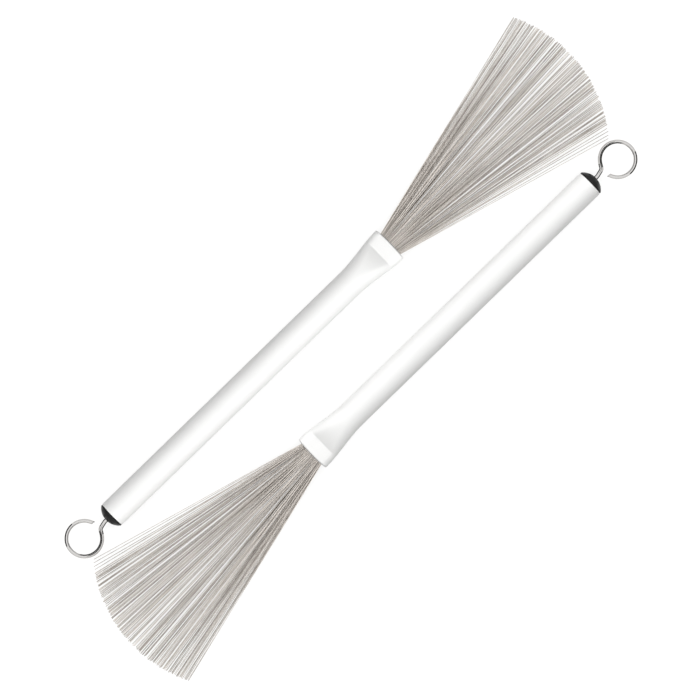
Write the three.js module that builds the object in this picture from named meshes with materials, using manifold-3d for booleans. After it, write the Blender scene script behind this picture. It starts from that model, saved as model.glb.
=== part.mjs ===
// A pair of retractable wire drum brushes, lying head to tail on a table.
//
// Millimetres, +Z up. The origin is on the table, midway between the two brushes, and +X is the way
// brush A points. Brush B is the same brush turned half round about Z.
//
// Each brush is modelled in a frame of its own: x runs along the handle's axis from the butt (0) to
// the mouth (HANDLE_LENGTH), y is across the flat fan and z is up. Its wires are pushed right out.

import * as THREE from "three";
import { mergeVertices } from "three/addons/utils/BufferGeometryUtils.js";
import Module from "manifold-3d";

// ---------------------------------------------------------------- driving dimensions

// Handle: an aluminium tube in a white vinyl sleeve, both pressed wide and flat at the mouth.
const HANDLE_LENGTH = 190;
const SLEEVE_RADIUS = 7;
const SLEEVE_WALL = 0.75;
const TUBE_WALL = 0.5;
const MOUTH_HALF_WIDTH = 9.6;
const MOUTH_HALF_HEIGHT = 3.5;
const FLARE_LENGTH = 28; // from the round handle to the mouth
const LAND_LENGTH = 7.6; // the flat lip at the mouth, where the handle stops getting thinner

// Butt: a domed plug with a bush that guides the pull rod, and a washer that cushions the ferrule.
const DOME_HEIGHT = 3.3;
const CAP_RIM = 0.6;
const STEM_LENGTH = 7.5;
const BUSH_WALL = 1.2;
const BUSH_RECESS = 2.4; // how far the bush stays below the top of the dome
const WASHER_THICKNESS = 1.2;

// Pull rod: one steel wire, straight and headed inside the handle and bent to an open eye behind it.
const ROD_RADIUS = 1.05;
const ROD_HEAD_RADIUS = 2.1;
const ROD_HEAD_LENGTH = 1.2;
const SHANK_LENGTH = 4.1; // from the dome to the kink
const SHANK_LEAN = 14; // degrees
const EYE_RADIUS = 8.75; // to the wire's own centre line
const EYE_DISTANCE = 18; // from the handle's end to the middle of the eye
const EYE_OFFSET = 1; // from the handle's axis to the middle of the eye
const EYE_END_ANGLE = 163; // degrees round the eye at which the wire stops, 180 facing the handle

// Ferrule: the steel collar that the wires are potted in, with the anchor that ties it to the rod.
const FERRULE_SETBACK = 1; // from the start of the flare back to the ferrule's face
const FERRULE_SIDE_WALL = 0.5; // beside the socket
const FERRULE_WEB = 1; // between the socket and the bore behind it
const SOCKET_HALF_HEIGHT = 3.3;
const SOCKET_DEPTH = 7;
const ANCHOR_RADIUS = 3.1;
const ANCHOR_LENGTH = 4.2;
const RING_WIRE_RADIUS = 0.6; // the rubber ring that rubs in the tube
const RING_INSET = 3; // from the ferrule's rear face to the middle of the ring
const RING_STAND = 0.15; // how far the ring stands out of its groove

// Wires: potted in rows, squeezed flat by the mouth and fanned out beyond it.
const WIRE_RADIUS = 0.19;
const WIRE_GAP = 0.08; // the least room between wires
const WIRE_REACH = 129; // how far the middle wires stand out of the mouth
const FAN_HALF_ANGLE = 14.4; // degrees
const FAN_HALF_THICKNESS = 2.2; // at the tips
const TIP_ARC_RADIUS = 74; // the line of the tips, seen from above
const TIP_UNEVENNESS = 0.8;
const POTTED_HALF_HEIGHT = 1.7; // of the block of wires in the potting
const POTTING_RECESS = 2; // from the ferrule's face down to the potting
const POTTED_LENGTH = 1.5; // of each wire, inside the potting
const MOUTH_SIDE_CLEARANCE = 1.1; // beside the fan, where it leaves the mouth
const MOUTH_TOP_CLEARANCE = 0.4; // above and below it
const STREAK_DEPTH = 0.6; // how unevenly the wires spread, from 0 to under 1

// How the two brushes lie.
const HANDLE_SHIFT = 45.3; // from the middle of the pair back to the middle of each handle
const PASSING_GAP = 0.5; // between one fan's corner and the other brush's eye as it is drawn past

// Clearances.
const FIT_GAP = 0.15; // pieces that are pushed or crimped together
const SLIDE_GAP = 0.3; // pieces that slide past each other

// Facets.
const TURNED_SIDES = 24;
const RING_SIDES = 8;
const ROD_SIDES = 8;
const WIRE_SIDES = 3;
const FLARE_STEPS = 7;
const DOME_STEPS = 5;
const EYE_STEPS = 28;
const BEND_STEPS = 3;

// ---------------------------------------------------------------- sizes that follow

const FLARE_START = HANDLE_LENGTH - FLARE_LENGTH;
const LAND_START = HANDLE_LENGTH - LAND_LENGTH;
const TUBE_RADIUS = SLEEVE_RADIUS - SLEEVE_WALL - FIT_GAP;
const BORE_RADIUS = TUBE_RADIUS - TUBE_WALL;
const WALLS = SLEEVE_RADIUS - BORE_RADIUS; // sleeve, gap and tube together
const ROD_HOLE_RADIUS = ROD_RADIUS + SLIDE_GAP;
const RIM_RADIUS = SLEEVE_RADIUS - FIT_GAP;

// stations along the handle, from the butt
const CAP_FACE = -FIT_GAP;
const DOME_FOOT = CAP_FACE - CAP_RIM;
const DOME_TOP = DOME_FOOT - DOME_HEIGHT;
const BUSH_SEAT = DOME_TOP + BUSH_RECESS;
const WASHER_FACE = STEM_LENGTH + FIT_GAP;

// stations inside the ferrule, from its front face back
const FERRULE_FACE = FLARE_START - FERRULE_SETBACK;
const POTTING_FACE = FERRULE_FACE - POTTING_RECESS;
const SOCKET_FLOOR = FERRULE_FACE - SOCKET_DEPTH;
const BORE_FLOOR = SOCKET_FLOOR - FERRULE_WEB;
const ROD_END = BORE_FLOOR - FIT_GAP;
const ROD_HEAD_REAR = ROD_END - ROD_HEAD_LENGTH;
const ANCHOR_FACE = ROD_HEAD_REAR - FIT_GAP;
const ANCHOR_REAR = ANCHOR_FACE - ANCHOR_LENGTH;
const FERRULE_REAR = ANCHOR_REAR - FIT_GAP;
const FERRULE_RADIUS = BORE_RADIUS - SLIDE_GAP;
const SOCKET_HALF_WIDTH = FERRULE_RADIUS - FERRULE_SIDE_WALL;

// the fan: its wires spread as if from one point, some way inside the mouth
const FAN_ANGLE = THREE.MathUtils.degToRad(FAN_HALF_ANGLE);
const FAN_MOUTH_HALF_WIDTH = MOUTH_HALF_WIDTH - WALLS - MOUTH_SIDE_CLEARANCE - WIRE_RADIUS;
const FAN_APEX = HANDLE_LENGTH - FAN_MOUTH_HALF_WIDTH / Math.tan(FAN_ANGLE);
const TIP_ARC_CENTRE = HANDLE_LENGTH + WIRE_REACH - TIP_ARC_RADIUS;
const FAN_HALF_WIDTH = tipDistance(FAN_ANGLE) * Math.sin(FAN_ANGLE) + WIRE_RADIUS;

// the far brush's eye is drawn back past the fan's corner, so that sets the brushes apart
const EYE_HALF_WIDTH = EYE_RADIUS + ROD_RADIUS - EYE_OFFSET;
const AXIS_SPACING = FAN_HALF_WIDTH + PASSING_GAP + Math.max(EYE_HALF_WIDTH, SLEEVE_RADIUS);

// ---------------------------------------------------------------- solids

const wasm = await Module();
wasm.setup();

/** A closed geometry as a solid that can be joined and cut. */
function solid(geometry) {
  const bare = geometry.clone();
  bare.deleteAttribute("normal");
  bare.deleteAttribute("uv");
  const merged = mergeVertices(bare, 1e-4);
  const triangles = [];
  for (let i = 0; i < merged.index.count; i += 3) {
    const [a, b, c] = [0, 1, 2].map((k) => merged.index.getX(i + k));
    // an edge on the turning axis shrinks to a point and takes a triangle with it
    if (a !== b && b !== c && c !== a) triangles.push(a, b, c);
  }
  return new wasm.Manifold(
    new wasm.Mesh({
      numProp: 3,
      vertProperties: new Float32Array(merged.attributes.position.array),
      triVerts: new Uint32Array(triangles),
    }),
  );
}

/** A solid back as a three.js geometry. */
function geometryOf(made) {
  const mesh = made.getMesh();
  const geometry = new THREE.BufferGeometry();
  geometry.setAttribute("position", new THREE.BufferAttribute(mesh.vertProperties, 3));
  geometry.setIndex(new THREE.BufferAttribute(mesh.triVerts, 1));
  return geometry;
}

/** The radius of a polygon's corners, from that of its flats. */
const cornerRadius = (flats, sides) => flats / Math.cos(Math.PI / sides);

/**
 * A piece turned about the handle's axis, from a profile of [radius, x] points whose outer side runs
 * towards +x. The radii are those of the facets, and one facet faces straight down, so that a handle
 * rests on a flat.
 */
function turned(profile) {
  const points = profile.map(([r, x]) => new THREE.Vector2(cornerRadius(r, TURNED_SIDES), x));
  return new THREE.LatheGeometry(points, TURNED_SIDES, Math.PI / TURNED_SIDES).rotateZ(-Math.PI / 2);
}

/** A washer-like piece between two radii and two stations. */
function turnedRing(inner, outer, x0, x1) {
  return turned([
    [inner, x0],
    [outer, x0],
    [outer, x1],
    [inner, x1],
    [inner, x0],
  ]);
}

/** A bar of flat-sided round section, two half circles joined by straight runs, wide across y. */
function flatRoundBar(halfWidth, halfHeight, x0, x1) {
  const run = halfWidth - halfHeight;
  const section = new THREE.Shape()
    .absarc(run, 0, halfHeight, -Math.PI / 2, Math.PI / 2, false)
    .absarc(-run, 0, halfHeight, Math.PI / 2, (3 * Math.PI) / 2, false);
  return new THREE.ExtrudeGeometry(section, {
    depth: x1 - x0,
    bevelEnabled: false,
    curveSegments: TURNED_SIDES / 4,
  })
    .rotateX(Math.PI / 2)
    .rotateZ(Math.PI / 2)
    .translate(x0, 0, 0);
}

// ---------------------------------------------------------------- handle

/** Half the handle's outer width at a station: round, then flaring smoothly to the mouth. */
function outerHalfWidth(x) {
  const flare = THREE.MathUtils.smoothstep(x, FLARE_START, HANDLE_LENGTH);
  return SLEEVE_RADIUS + (MOUTH_HALF_WIDTH - SLEEVE_RADIUS) * flare;
}

/** Half the handle's outer height: it dips ever more steeply and breaks off at the flat land. */
function outerHalfHeight(x) {
  const dip = THREE.MathUtils.clamp((x - FLARE_START) / (LAND_START - FLARE_START), 0, 1);
  return SLEEVE_RADIUS - (SLEEVE_RADIUS - MOUTH_HALF_HEIGHT) * dip * dip;
}

/** Presses a round piece of the handle into the mouth's shape, with its wall as thick as it was. */
function pressMouth(geometry) {
  const position = geometry.attributes.position;
  for (let i = 0; i < position.count; i++) {
    const [x, y, z] = [position.getX(i), position.getY(i), position.getZ(i)];
    const corner = Math.hypot(y, z);
    const depth = SLEEVE_RADIUS - corner * Math.cos(Math.PI / TURNED_SIDES);
    const pressed = cornerRadius(outerHalfHeight(x) - depth, TURNED_SIDES);
    const spread = outerHalfWidth(x) - outerHalfHeight(x);
    position.setXYZ(i, x, (y / corner) * pressed + Math.sign(y) * spread, (z / corner) * pressed);
  }
  return geometry;
}

/** A tube of the handle, from its outer radius inwards, with rings enough to follow the flare. */
function handlePiece(outer, wall) {
  const stations = [0];
  for (let i = 0; i <= FLARE_STEPS; i++) {
    stations.push(THREE.MathUtils.lerp(FLARE_START, LAND_START, i / FLARE_STEPS));
  }
  stations.push((LAND_START + HANDLE_LENGTH) / 2, HANDLE_LENGTH);
  const outside = stations.map((x) => [outer, x]);
  const inside = stations.map((x) => [outer - wall, x]).reverse();
  return pressMouth(turned([...outside, ...inside, outside[0]]));
}

const gripSleeve = () => handlePiece(SLEEVE_RADIUS, SLEEVE_WALL);
const handleTube = () => handlePiece(TUBE_RADIUS, TUBE_WALL);

// ---------------------------------------------------------------- butt

/** The domed plug: a shallow dome, a rim, and a stem that is pushed into the tube. */
function endCap() {
  const stem = BORE_RADIUS - FIT_GAP;
  const bushHole = ROD_HOLE_RADIUS + BUSH_WALL + FIT_GAP;
  const domeRadius = (RIM_RADIUS ** 2 + DOME_HEIGHT ** 2) / (2 * DOME_HEIGHT);
  const dome = [];
  for (let i = 0; i <= DOME_STEPS; i++) {
    const r = THREE.MathUtils.lerp(ROD_HOLE_RADIUS, RIM_RADIUS, i / DOME_STEPS);
    dome.push([r, DOME_TOP + domeRadius - Math.sqrt(domeRadius ** 2 - r ** 2)]);
  }
  return turned([
    [ROD_HOLE_RADIUS, BUSH_SEAT],
    ...dome,
    [RIM_RADIUS, CAP_FACE],
    [stem, CAP_FACE],
    [stem, STEM_LENGTH],
    [bushHole, STEM_LENGTH],
    [bushHole, BUSH_SEAT],
    [ROD_HOLE_RADIUS, BUSH_SEAT],
  ]);
}

const guideBush = () =>
  turnedRing(ROD_HOLE_RADIUS, ROD_HOLE_RADIUS + BUSH_WALL, BUSH_SEAT + FIT_GAP, STEM_LENGTH);

const bumperWasher = () =>
  turnedRing(ROD_HOLE_RADIUS, BORE_RADIUS - FIT_GAP, WASHER_FACE, WASHER_FACE + WASHER_THICKNESS);

// ---------------------------------------------------------------- pull rod

/** A line through given points, along which each point is one step, however far apart they are. */
class PointLine extends THREE.Curve {
  constructor(points) {
    super();
    this.points = points;
  }

  getPoint(t, target = new THREE.Vector3()) {
    const place = t * (this.points.length - 1);
    const i = THREE.MathUtils.clamp(Math.floor(place), 0, this.points.length - 2);
    return target.lerpVectors(this.points[i], this.points[i + 1], place - i);
  }

  getUtoTmapping(u) {
    return u;
  }
}

/** Points that round a corner, from `reach` before it to `reach` past it. */
function bendPoints(before, corner, after, reach) {
  const start = corner.clone().add(before.clone().sub(corner).setLength(reach));
  const end = corner.clone().add(after.clone().sub(corner).setLength(reach));
  return new THREE.QuadraticBezierCurve3(start, corner, end).getPoints(BEND_STEPS);
}

/** The rod's centre line, from its headed end in the ferrule to the free end of the eye. */
function pullRodLine() {
  const behind = (distance, y) => new THREE.Vector3(-distance, y, 0);
  const lean = THREE.MathUtils.degToRad(SHANK_LEAN);
  const exit = ROD_RADIUS - DOME_TOP;
  const head = new THREE.Vector3(ROD_END - ROD_HEAD_LENGTH / 2, 0, 0);
  const bend = behind(exit, 0);
  const kink = behind(exit + SHANK_LENGTH * Math.cos(lean), -SHANK_LENGTH * Math.sin(lean));

  // from the kink the wire runs along the tangent to the eye, and then round it
  const eye = behind(EYE_DISTANCE, EYE_OFFSET);
  const towardsKink = Math.atan2(kink.y - eye.y, eye.x - kink.x);
  const startAngle = towardsKink + Math.acos(EYE_RADIUS / eye.distanceTo(kink));
  const endAngle = THREE.MathUtils.degToRad(EYE_END_ANGLE);
  const circle = [];
  for (let i = 0; i <= EYE_STEPS; i++) {
    const angle = THREE.MathUtils.lerp(startAngle, endAngle, i / EYE_STEPS);
    const [along, across] = [EYE_RADIUS * Math.cos(angle), EYE_RADIUS * Math.sin(angle)];
    circle.push(behind(EYE_DISTANCE + along, EYE_OFFSET + across));
  }
  return [
    head,
    ...bendPoints(head, bend, kink, ROD_RADIUS / 2),
    ...bendPoints(bend, kink, circle[0], ROD_RADIUS),
    ...circle,
  ];
}

/** The rod with its upset head. */
function pullRod() {
  const line = pullRodLine();
  const corners = [];
  for (let i = 0; i < ROD_SIDES; i++) {
    const angle = ((i + 0.5) / ROD_SIDES) * 2 * Math.PI;
    const [x, y] = [Math.cos(angle), Math.sin(angle)];
    corners.push(new THREE.Vector2(x, y).multiplyScalar(cornerRadius(ROD_RADIUS, ROD_SIDES)));
  }
  const wire = new THREE.ExtrudeGeometry(new THREE.Shape(corners), {
    steps: line.length - 1,
    extrudePath: new PointLine(line),
  });
  const head = turned([
    [0, ROD_HEAD_REAR],
    [ROD_HEAD_RADIUS, ROD_HEAD_REAR],
    [ROD_HEAD_RADIUS, ROD_END],
    [0, ROD_END],
  ]);
  return geometryOf(solid(wire).add(solid(head)));
}

// ---------------------------------------------------------------- ferrule

const RING_STATION = FERRULE_REAR + RING_INSET;
const RING_CENTRE_RADIUS = FERRULE_RADIUS + RING_STAND - RING_WIRE_RADIUS;

/** The collar: a round bore behind for the anchor, a ring groove, and a flat socket in front. */
function wireFerrule() {
  const bore = ANCHOR_RADIUS + FIT_GAP;
  const groove = RING_CENTRE_RADIUS - RING_WIRE_RADIUS - FIT_GAP;
  const grooveHalfWidth = RING_WIRE_RADIUS + FIT_GAP;
  const body = turned([
    [0, BORE_FLOOR],
    [bore, BORE_FLOOR],
    [bore, FERRULE_REAR],
    [FERRULE_RADIUS, FERRULE_REAR],
    [FERRULE_RADIUS, RING_STATION - grooveHalfWidth],
    [groove, RING_STATION - grooveHalfWidth],
    [groove, RING_STATION + grooveHalfWidth],
    [FERRULE_RADIUS, RING_STATION + grooveHalfWidth],
    [FERRULE_RADIUS, FERRULE_FACE],
    [0, FERRULE_FACE],
  ]);
  const past = FERRULE_FACE + SOCKET_DEPTH;
  const socket = flatRoundBar(SOCKET_HALF_WIDTH, SOCKET_HALF_HEIGHT, SOCKET_FLOOR, past);
  return geometryOf(solid(body).subtract(solid(socket)));
}

const rodAnchor = () => turnedRing(ROD_RADIUS + FIT_GAP, ANCHOR_RADIUS, ANCHOR_REAR, ANCHOR_FACE);

/** The rubber ring in the ferrule's groove, round in section. */
function frictionRing() {
  const profile = [];
  for (let i = 0; i <= RING_SIDES; i++) {
    const angle = (i / RING_SIDES) * 2 * Math.PI;
    profile.push([
      RING_CENTRE_RADIUS + RING_WIRE_RADIUS * Math.cos(angle),
      RING_STATION + RING_WIRE_RADIUS * Math.sin(angle),
    ]);
  }
  return turned(profile);
}

// ---------------------------------------------------------------- wires

/** How far from the fan's apex a wire at this angle ends, on the arc of the tips. */
function tipDistance(angle) {
  const centre = TIP_ARC_CENTRE - FAN_APEX;
  const across = centre * Math.sin(angle);
  return centre * Math.cos(angle) + Math.sqrt(TIP_ARC_RADIUS ** 2 - across ** 2);
}

/** A wire's share of the fan's angle, from its share of the row: always rising, but unevenly. */
function streaked(share) {
  const wave = (turns, lag) => Math.sin(turns * Math.PI * share + lag) / (turns * Math.PI);
  const level = (s) => (STREAK_DEPTH / 2) * s;
  const skew = level(wave(5, 0.4)) + level(wave(13, 2.1));
  return THREE.MathUtils.clamp(share + skew * (1 - share * share), -1, 1);
}

/** Adds one wire, a bar of WIRE_SIDES sides through its stations, square to the handle throughout. */
function addWire(positions, indices, stations) {
  const first = positions.length / 3;
  for (const [x, y, z] of stations) {
    for (let k = 0; k < WIRE_SIDES; k++) {
      const angle = Math.PI / 2 + (k / WIRE_SIDES) * 2 * Math.PI;
      positions.push(x, y + WIRE_RADIUS * Math.cos(angle), z + WIRE_RADIUS * Math.sin(angle));
    }
  }
  const last = first + (stations.length - 1) * WIRE_SIDES;
  for (let ring = first; ring < last; ring += WIRE_SIDES) {
    for (let k = 0; k < WIRE_SIDES; k++) {
      const [a, b] = [ring + k, ring + ((k + 1) % WIRE_SIDES)];
      indices.push(a, b, b + WIRE_SIDES, a, b + WIRE_SIDES, a + WIRE_SIDES);
    }
  }
  for (let k = 2; k < WIRE_SIDES; k++) {
    indices.push(first, first + k, first + k - 1);
    indices.push(last, last + k - 1, last + k);
  }
}

/**
 * The fan: rows of wires one above another, each row's wires side by side. Every wire keeps its place
 * in its row from the potting through the mouth to the tips, and the rows keep theirs, so none cross.
 */
function wireFan() {
  const pottingHalfWidth = SOCKET_HALF_WIDTH - FIT_GAP;
  const pottingHalfHeight = SOCKET_HALF_HEIGHT - FIT_GAP;
  const potting = flatRoundBar(
    pottingHalfWidth,
    pottingHalfHeight,
    SOCKET_FLOOR + FIT_GAP,
    POTTING_FACE,
  );

  // the block of wires in the potting, as wide as the round ends leave room for
  const corner = Math.sqrt(pottingHalfHeight ** 2 - (POTTED_HALF_HEIGHT + WIRE_RADIUS) ** 2);
  const pottedHalfWidth = pottingHalfWidth - pottingHalfHeight + corner - WIRE_RADIUS;

  // the flattened bundle where it reaches the land
  const mouthHalfHeight = MOUTH_HALF_HEIGHT - WALLS - MOUTH_TOP_CLEARANCE - WIRE_RADIUS;
  const mouthHalfWidth = (LAND_START - FAN_APEX) * Math.tan(FAN_ANGLE);

  // as many rows, and wires in a row, as fit in the tightest place
  const rise = 1.5 * WIRE_RADIUS + WIRE_GAP;
  const width = Math.sqrt(3) * WIRE_RADIUS + WIRE_GAP;
  const halfRows = Math.floor(Math.min(mouthHalfHeight, POTTED_HALF_HEIGHT) / rise);
  const rows = 2 * halfRows + 1;
  const perRow = Math.floor((2 * Math.min(pottedHalfWidth, mouthHalfWidth)) / width);

  const [positions, indices] = [[], []];
  for (let row = 0; row < rows; row++) {
    const level = row / halfRows - 1;
    const shift = ((row * 0.42) % 1) - 0.5; // rows don't line up from above
    for (let i = 0; i < perRow; i++) {
      const share = (2 * (i + 0.5 + shift * 0.9)) / perRow - 1;
      const angle = FAN_ANGLE * streaked(share);
      const uneven = TIP_UNEVENNESS * (((row * perRow + i) * 0.618) % 1);
      const reach = tipDistance(angle) - uneven;
      const tip = [FAN_APEX + reach * Math.cos(angle), reach * Math.sin(angle)];
      addWire(positions, indices, [
        [POTTING_FACE - POTTED_LENGTH, pottedHalfWidth * share, POTTED_HALF_HEIGHT * level],
        [LAND_START, mouthHalfWidth * share, mouthHalfHeight * level],
        [...tip, FAN_HALF_THICKNESS * level],
      ]);
    }
  }
  const wires = new THREE.BufferGeometry();
  wires.setAttribute("position", new THREE.Float32BufferAttribute(positions, 3));
  wires.setIndex(indices);
  return geometryOf(solid(wires).add(solid(potting)));
}

// ---------------------------------------------------------------- assembly

const FINISHES = {
  white_vinyl: { color: 0xf3f3f1, roughness: 0.35, metalness: 0 },
  aluminium: { color: 0xc9cacc, roughness: 0.4, metalness: 1 },
  black_plastic: { color: 0x2b2b2b, roughness: 0.45, metalness: 0 },
  acetal: { color: 0xe4e0d4, roughness: 0.5, metalness: 0 },
  felt: { color: 0x4c4a48, roughness: 0.95, metalness: 0 },
  bright_steel: { color: 0xc8c8c6, roughness: 0.18, metalness: 1 },
  turned_steel: { color: 0x9fa1a3, roughness: 0.35, metalness: 1 },
  rubber: { color: 0x1f1f20, roughness: 0.8, metalness: 0 },
  spring_steel: { color: 0xaaa49e, roughness: 0.35, metalness: 1 },
};

const PIECES = {
  grip_sleeve: [gripSleeve(), FINISHES.white_vinyl],
  handle_tube: [handleTube(), FINISHES.aluminium],
  end_cap: [endCap(), FINISHES.black_plastic],
  guide_bush: [guideBush(), FINISHES.acetal],
  bumper_washer: [bumperWasher(), FINISHES.felt],
  pull_rod: [pullRod(), FINISHES.bright_steel],
  wire_ferrule: [wireFerrule(), FINISHES.turned_steel],
  rod_anchor: [rodAnchor(), FINISHES.turned_steel],
  friction_ring: [frictionRing(), FINISHES.rubber],
  wire_fan: [wireFan(), FINISHES.spring_steel],
};

/** One brush, with its butt at the group's origin and its wires along the group's +x. */
function brush(side) {
  const group = new THREE.Group();
  for (const [name, [geometry, finish]] of Object.entries(PIECES)) {
    const mesh = new THREE.Mesh(geometry, new THREE.MeshStandardMaterial(finish));
    mesh.name = `${name}_${side}`;
    group.add(mesh);
  }
  return group;
}

const pair = new THREE.Group();
const butt = HANDLE_SHIFT + HANDLE_LENGTH / 2;

const brushA = brush("a");
brushA.position.set(-butt, AXIS_SPACING / 2, SLEEVE_RADIUS);
pair.add(brushA);

const brushB = brush("b");
brushB.position.set(butt, -AXIS_SPACING / 2, SLEEVE_RADIUS);
brushB.rotation.z = Math.PI;
pair.add(brushB);

export default pair;
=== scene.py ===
"""A pair of retractable wire drum brushes, dressed around their packed CAD model.

Lengths are in metres. Each piece is worked out in a brush's own frame, in which x runs along the
handle's axis from the butt to the mouth, y is across the flat fan and z is up, and is then put at its
place. Brush B is brush A turned half round about Z.
"""

from collections import namedtuple
from math import atan2, cos, hypot, pi, radians, sin, tan

import bpy
import numpy as np
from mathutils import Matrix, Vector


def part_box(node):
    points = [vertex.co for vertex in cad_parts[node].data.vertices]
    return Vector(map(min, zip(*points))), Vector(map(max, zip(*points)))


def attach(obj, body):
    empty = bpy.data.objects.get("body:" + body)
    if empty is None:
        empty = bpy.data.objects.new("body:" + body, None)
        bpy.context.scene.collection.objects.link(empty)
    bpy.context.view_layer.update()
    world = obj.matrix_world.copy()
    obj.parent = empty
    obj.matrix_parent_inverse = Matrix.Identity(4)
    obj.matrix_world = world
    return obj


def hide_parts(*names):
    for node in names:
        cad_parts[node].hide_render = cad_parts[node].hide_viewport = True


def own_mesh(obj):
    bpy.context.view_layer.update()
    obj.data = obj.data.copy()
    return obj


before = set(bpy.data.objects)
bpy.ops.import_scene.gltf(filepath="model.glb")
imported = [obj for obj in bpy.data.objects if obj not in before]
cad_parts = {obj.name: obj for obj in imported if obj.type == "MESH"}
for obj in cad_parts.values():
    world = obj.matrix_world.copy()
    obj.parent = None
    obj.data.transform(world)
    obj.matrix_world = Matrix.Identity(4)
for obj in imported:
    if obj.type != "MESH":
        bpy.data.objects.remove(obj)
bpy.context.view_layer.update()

bl_info = {
    "name": "Wire drum brushes",
    "version": (1, 0, 0),
    "blender": (4, 5, 0),
    "location": "View3D > Sidebar > Brushes",
    "description": "Builds a pair of retractable wire drum brushes and the studio they lie in",
    "category": "Object",
}

MM = 0.001
SIDES = ("a", "b")

# clearances
FIT_GAP = 0.15 * MM  # pieces that are pushed or crimped together
SLIDE_GAP = 0.3 * MM  # pieces that slide past each other

# facets round the pieces
HANDLE_SIDES = 96
TURNED_SIDES = 64
ROD_SIDES = 24
WIRE_SIDES = 6


# ---------------------------------------------------------------- what the frame gives

Span = namedtuple("Span", "start end half_width half_height")


def span(node):
    """Where a node of brush A starts and ends along the handle, and how far it reaches from its axis."""
    low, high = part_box(f"{node}_a")
    sleeve_low, sleeve_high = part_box("grip_sleeve_a")
    axis = (sleeve_low + sleeve_high) / 2
    half_width = max(high.y - axis.y, axis.y - low.y)
    half_height = max(high.z - axis.z, axis.z - low.z)
    return Span(low.x - sleeve_low.x, high.x - sleeve_low.x, half_width, half_height)


SLEEVE = span("grip_sleeve")
TUBE = span("handle_tube")
CAP = span("end_cap")
BUSH = span("guide_bush")
WASHER = span("bumper_washer")
ROD = span("pull_rod")
FERRULE = span("wire_ferrule")
ANCHOR = span("rod_anchor")
RING = span("friction_ring")
FAN = span("wire_fan")


def brush_place(side):
    """The middle of a brush's butt, and which way along X the brush points."""
    low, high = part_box(f"grip_sleeve_{side}")
    middle = (low + high) / 2
    way = 1 if side == "a" else -1
    return np.array((low.x if way > 0 else high.x, middle.y, middle.z)), way


def placed(points, side):
    """Points of a brush's own frame in the row's frame: brush B's are turned half round about Z."""
    butt, way = brush_place(side)
    return butt + points * (way, way, 1)


# ---------------------------------------------------------------- settings


def linear(code):
    """An sRGB hex colour as linear red, green and blue: each channel above 0.04045 is
    ((c + 0.055) / 1.055) to the power 2.4, and below that c / 12.92."""
    c = np.array([int(code[i : i + 2], 16) for i in (1, 3, 5)]) / 255
    return tuple(np.where(c > 0.04045, ((c + 0.055) / 1.055) ** 2.4, c / 12.92).tolist())


def length(name, description, millimetres):
    """A length that a user can change."""
    return bpy.props.FloatProperty(
        name=name, description=description, default=millimetres * MM, min=0, precision=5, unit="LENGTH"
    )


def angle(name, description, degrees):
    """An angle that a user can change."""
    return bpy.props.FloatProperty(
        name=name, description=description, default=radians(degrees), subtype="ANGLE"
    )


def share(name, description, default, top=1.0):
    """A number from 0 up that a user can change."""
    return bpy.props.FloatProperty(name=name, description=description, default=default, min=0, max=top)


def count(name, description, default, least=1):
    """A whole number that a user can change."""
    return bpy.props.IntProperty(name=name, description=description, default=default, min=least)


def colour(name, description, code):
    """A colour that a user can change."""
    return bpy.props.FloatVectorProperty(
        name=name, description=description, default=linear(code), min=0, max=1, subtype="COLOR"
    )


class HandleSettings(bpy.types.PropertyGroup):
    """The handle's two layers and the mouth that they are pressed into"""

    sleeve_wall: length("Sleeve wall", "Thickness of the vinyl sleeve", 0.75)
    tube_wall: length("Tube wall", "Thickness of the aluminium tube", 0.5)
    mouth_half_height: length("Mouth half height", "Half the handle's height at its flat mouth", 3.5)
    flare: length("Flare", "Length over which the handle goes from round to flat", 28)
    land: length("Land", "Length of the flat lip at the mouth", 7.6)
    drop: share("Drop", "Power of the way along the flare that the height falls with", 2.8, 6.0)
    crease: length("Crease", "Length over which the sleeve turns into the land", 0.5)
    bow: length("Bow", "How far the corners of the mouth lie behind its middle", 0.4)
    edge: length("Edge", "Rounding of the sleeve's outer edges", 0.5)
    lip: length("Lip", "How far the tube stands out of the sleeve at the mouth", 0.16)
    vinyl: colour("Vinyl", "Colour of the sleeve", "#efefee")
    aluminium: colour("Aluminium", "Colour of the tube", "#c9cacc")


class ButtSettings(bpy.types.PropertyGroup):
    """The domed plug, its bush and the washer inside it"""

    dome_height: length("Dome height", "Height of the dome above its rim", 3.3)
    rim: length("Rim", "Thickness of the dome's rim", 0.6)
    plastic: colour("Plastic", "Colour of the domed plug", "#0d0d0d")
    bush: colour("Bush", "Colour of the bush", "#e4e0d4")
    felt: colour("Felt", "Colour of the washer", "#4c4a48")


class RodSettings(bpy.types.PropertyGroup):
    """The pull rod and its open eye"""

    radius: length("Radius", "Half the rod's thickness", 1.05)
    head_length: length("Head length", "Length of the upset head in the ferrule", 1.2)
    shank: length("Shank", "From the dome to the kink", 4.1)
    lean: angle("Lean", "How far the shank leans from the handle's axis", 14)
    bend_radius: length("Bend radius", "Radius of the bend at the dome", 4)
    kink_radius: length("Kink radius", "Radius of the kink between the shank and the eye", 1.9)
    eye_radius: length("Eye radius", "Radius of the eye, to the middle of the rod", 8.75)
    eye_distance: length("Eye distance", "From the handle's end to the middle of the eye", 18)
    eye_offset: length("Eye offset", "From the handle's axis to the middle of the eye", 1)
    eye_end: angle("Eye end", "Where the rod stops round the eye, with 180 degrees facing the handle", 163)
    cut: angle("Cut", "How far from square the rod's free end is cut", 26)
    plating: colour("Plating", "Colour of the nickel plating", "#dfdddb")


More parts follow.
